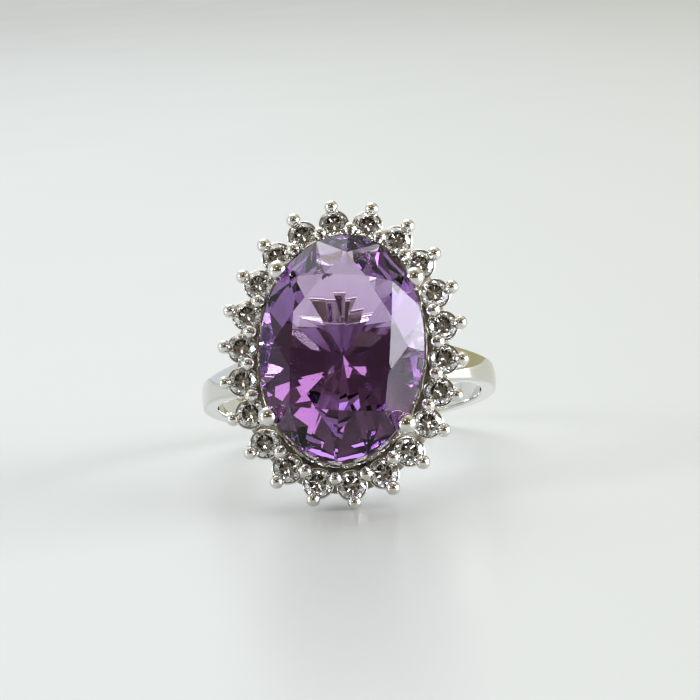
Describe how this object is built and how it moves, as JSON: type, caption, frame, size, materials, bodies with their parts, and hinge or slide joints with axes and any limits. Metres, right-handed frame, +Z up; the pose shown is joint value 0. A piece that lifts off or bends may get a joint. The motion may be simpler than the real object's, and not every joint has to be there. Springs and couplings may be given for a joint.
{
  "type": "cocktail ring",
  "caption": "Cocktail ring: a large oval amethyst in four claws inside a halo of small round diamonds with beaded points, on a plain white-gold band.",
  "frame": {"origin": "centre of the finger bore, on the finger's axis and midway across the band's width", "axes": "+Z up as the ring lies on a table; +X to the right of the head seen from the front, across the finger; +Y to the back. The head faces -Y and a little up, and the finger's axis lies in the YZ plane, 22.0 degrees from the upright, its upper end leaning to +Y"},
  "size_m": [0.0194, 0.0256, 0.0181],
  "materials": {
    "white_gold": "white gold, rhodium plated, mirror polish",
    "amethyst": "faceted and polished, mid purple",
    "diamond": "brilliant cut, colourless"
  },
  "bodies": {
    "root": {"band": "white_gold", "base_ring": "white_gold", "gallery_posts": "white_gold", "halo_plate": "white_gold", "gallery_wall": "white_gold", "claw_1": "white_gold", "claw_2": "white_gold", "claw_3": "white_gold", "claw_4": "white_gold", "point_prongs": "white_gold", "shared_prongs": "white_gold", "collet_01": "white_gold", "collet_02": "white_gold", "collet_03": "white_gold", "collet_04": "white_gold", "collet_05": "white_gold", "collet_06": "white_gold", "collet_07": "white_gold", "collet_08": "white_gold", "collet_09": "white_gold", "collet_10": "white_gold", "collet_11": "white_gold", "collet_12": "white_gold", "collet_13": "white_gold", "collet_14": "white_gold", "collet_15": "white_gold", "collet_16": "white_gold", "collet_17": "white_gold", "collet_18": "white_gold", "collet_19": "white_gold", "collet_20": "white_gold", "collet_21": "white_gold", "collet_22": "white_gold", "amethyst": "amethyst", "diamond_01": "diamond", "diamond_02": "diamond", "diamond_03": "diamond", "diamond_04": "diamond", "diamond_05": "diamond", "diamond_06": "diamond", "diamond_07": "diamond", "diamond_08": "diamond", "diamond_09": "diamond", "diamond_10": "diamond", "diamond_11": "diamond", "diamond_12": "diamond", "diamond_13": "diamond", "diamond_14": "diamond", "diamond_15": "diamond", "diamond_16": "diamond", "diamond_17": "diamond", "diamond_18": "diamond", "diamond_19": "diamond", "diamond_20": "diamond", "diamond_21": "diamond", "diamond_22": "diamond"}
  },
  "joints": []
}
